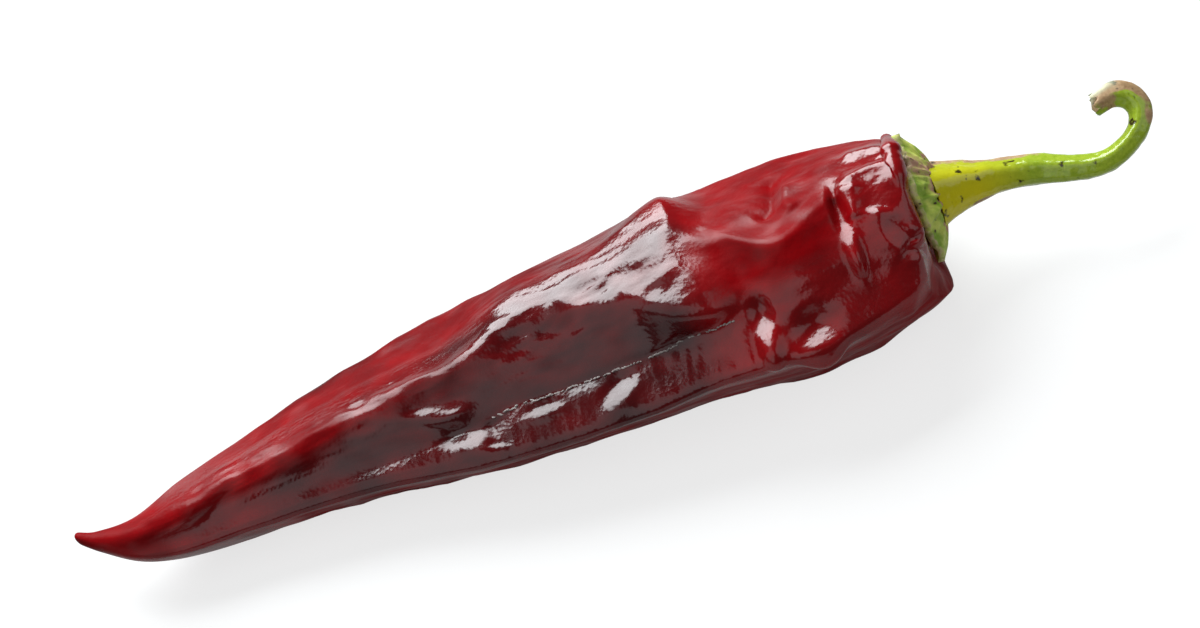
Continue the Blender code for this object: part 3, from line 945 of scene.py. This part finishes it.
def green_peduncle():
    """Green capsicum stalk: waxy and glossy, yellow at the foot, green along its length, with dry
    tan and pinkish-brown scars and dark specks where it rubbed."""
    made, tree, out = new_material("waxy_capsicum_stalk")
    place = add(tree, "ShaderNodeTexCoord").outputs["Object"]
    yellow = add(tree, "ShaderNodeAttribute", attribute_name="yellow").outputs["Fac"]
    tan = add(tree, "ShaderNodeAttribute", attribute_name="tan").outputs["Fac"]
    pith = add(tree, "ShaderNodeAttribute", attribute_name="pith").outputs["Fac"]
    blotch = add(
        tree, "ShaderNodeTexNoise", {"Vector": place, "Scale": BLOTCHES, "Detail": 3.0}
    ).outputs["Fac"]
    fine = add(
        tree, "ShaderNodeTexNoise", {"Vector": place, "Scale": STALK_PORES, "Detail": 2.0}
    ).outputs["Fac"]
    specks = add(
        tree, "ShaderNodeMapRange", {"Value": blotch, "From Min": 0.63, "From Max": 0.70}
    ).outputs[0]
    green = add(
        tree, "ShaderNodeMix", {0: fine, 6: linear("#7a981a"), 7: linear("#aebf3c")}, data_type="RGBA"
    )
    warm = add(
        tree, "ShaderNodeMix", {0: yellow, 6: green.outputs[2], 7: linear("#d6c916")}, data_type="RGBA"
    )
    scar = add(tree, "ShaderNodeMath", {0: tan, 1: blotch}, operation="MULTIPLY").outputs[0]
    scar = add(tree, "ShaderNodeMapRange", {"Value": scar, "From Min": 0.28, "From Max": 0.42}).outputs[0]
    bark = add(
        tree, "ShaderNodeMix", {0: fine, 6: linear("#7d5228"), 7: linear("#ccac80")}, data_type="RGBA"
    )
    scarred = add(
        tree, "ShaderNodeMix", {0: scar, 6: warm.outputs[2], 7: bark.outputs[2]}, data_type="RGBA"
    )
    dotted = add(
        tree, "ShaderNodeMix", {0: specks, 6: scarred.outputs[2], 7: linear("#3c3414")}, data_type="RGBA"
    )
    tone = add(
        tree, "ShaderNodeMix", {0: pith, 6: dotted.outputs[2], 7: linear("#dfe3c0")}, data_type="RGBA"
    )
    rough = add(tree, "ShaderNodeMapRange", {"Value": scar, "To Min": 0.12, "To Max": 0.6}).outputs[0]
    bump = add(
        tree, "ShaderNodeBump", {"Height": fine, "Strength": 0.25, "Distance": 0.0002}
    ).outputs["Normal"]
    surface = add(
        tree, "ShaderNodeBsdfPrincipled",
        {"Base Color": tone.outputs[2], "Roughness": rough, "Normal": bump},
    )
    tree.links.new(surface.outputs[0], out.inputs["Surface"])
    return made


tree, given, result = node_group("ribbed_stalk", STALK)
line = add(tree, "GeometryNodeMeshToCurve", {"Mesh": given["Geometry"]}).outputs[0]
girth = add(tree, "GeometryNodeInputNamedAttribute", {"Name": "girth"}, data_type="FLOAT").outputs[0]
ring = add(
    tree, "GeometryNodeCurvePrimitiveCircle", {"Resolution": given["Sides"], "Radius": 1.0}
).outputs[0]
factor = add(tree, "GeometryNodeSplineParameter").outputs["Factor"]
whole = add(tree, "ShaderNodeMath", {0: factor, 1: math.tau}, operation="MULTIPLY").outputs[0]
ribs = add(tree, "ShaderNodeMath", {0: whole, 1: given["Ribs"]}, operation="MULTIPLY").outputs[0]
wave = add(tree, "ShaderNodeMath", {0: ribs}, operation="COSINE").outputs[0]
swell = add(
    tree, "ShaderNodeMath", {0: wave, 1: given["Rib depth"], 2: 1.0}, operation="MULTIPLY_ADD"
).outputs[0]
spot = add(tree, "GeometryNodeInputPosition").outputs[0]
spread = add(tree, "ShaderNodeVectorMath", {0: spot, "Scale": swell}, operation="SCALE").outputs[0]
ring = add(tree, "GeometryNodeSetPosition", {"Geometry": ring, "Position": spread}).outputs[0]
tube = add(
    tree, "GeometryNodeCurveToMesh",
    {"Curve": line, "Profile Curve": ring, "Scale": girth, "Fill Caps": True},
).outputs[0]
lumps = add(tree, "ShaderNodeTexNoise", {"Scale": KNOTS, "Detail": 2.0}).outputs["Fac"]
lumps = add(tree, "ShaderNodeMath", {0: lumps, 1: 0.5}, operation="SUBTRACT").outputs[0]
lumps = add(tree, "ShaderNodeMath", {0: lumps, 1: given["Knots"]}, operation="MULTIPLY").outputs[0]
facing = add(tree, "GeometryNodeInputNormal").outputs[0]
push = add(tree, "ShaderNodeVectorMath", {0: facing, "Scale": lumps}, operation="SCALE").outputs[0]
tube = add(tree, "GeometryNodeSetPosition", {"Geometry": tube, "Offset": push}).outputs[0]
tube = add(tree, "GeometryNodeSetShadeSmooth", {"Geometry": tube}).outputs[0]
finish_tree(tree, tube, green_peduncle(), result)

lengths = np.concatenate([[0.0], np.cumsum(np.linalg.norm(np.diff(STEM[:, :3], axis=0), axis=1))])
stem_path = along(np.column_stack([lengths, STEM]), np.arange(0.0, lengths[-1] + 0.01, STEM_STEP))
stem_line = line_mesh("stem_line", stem_path[:, :3] * MM + pod_origin, girth=stem_path[:, 3] * MM)
stem = grown("stem_stalk", stem_line, tree, STALK)

# Where each point of the stalk lies: its share of the length, and which way it faces off the line.
co = np.zeros(len(stem.data.vertices) * 3)
stem.data.vertices.foreach_get("co", co)
co = (co.reshape(-1, 3) - pod_origin) / MM
nearest = np.argmin(((co[:, None, :] - stem_path[None, :, :3]) ** 2).sum(axis=2), axis=1)
share = nearest / (len(stem_path) - 1.0)
off = co - stem_path[nearest, :3]
off /= np.maximum(np.linalg.norm(off, axis=1, keepdims=True), 1e-9)
rising, outside = off @ np.array(SKYWARD), off @ np.array(BEND_OUTWARD)
# The foot is yellow. Bark covers a line along the top, the outside of the bend, the torn end and a
# scar under the foot, and pith shows in the upper part of the end.
yellow = np.clip((0.36 - share) / 0.2, 0, 1) * np.clip(0.85 - 0.5 * rising, 0, 1)
tan = np.clip((0.45 - share) / 0.1, 0, 1) * np.exp(-(((rising - 0.95) / 0.16) ** 2))
tan += np.clip((share - 0.68) / 0.08, 0, 1) * np.clip((outside - 0.1) / 0.4, 0, 1)
tan += np.clip((share - 0.90) / 0.05, 0, 1) * 0.8
tan += np.exp(-(((share - 0.17) / 0.06) ** 2)) * np.clip((-rising - 0.75) / 0.2, 0, 1)
# The torn end is ragged: short splinters stand out from its rim.
break_way = stem_path[-1, :3] - stem_path[-3, :3]
break_way /= np.linalg.norm(break_way)
splinters = np.array([abs(noise.noise(Vector(p) * 0.9)) for p in co]) * SPLINTER_LENGTH
co += (splinters * (share > SPLINTERS_FROM))[:, None] * break_way
stem.data.vertices.foreach_set("co", (co * MM + pod_origin).reshape(-1))
pith = np.clip((share - 0.93) / 0.04, 0, 1) * np.clip((rising - 0.35) / 0.4, 0, 1) * 0.9
for label, values in (("yellow", yellow), ("tan", np.clip(tan, 0, 1)), ("pith", pith)):
    stored = stem.data.attributes.new(label, "FLOAT", "POINT")
    stored.data.foreach_set("value", values.astype(np.float32))
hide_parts("stem")
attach(stem, "root")
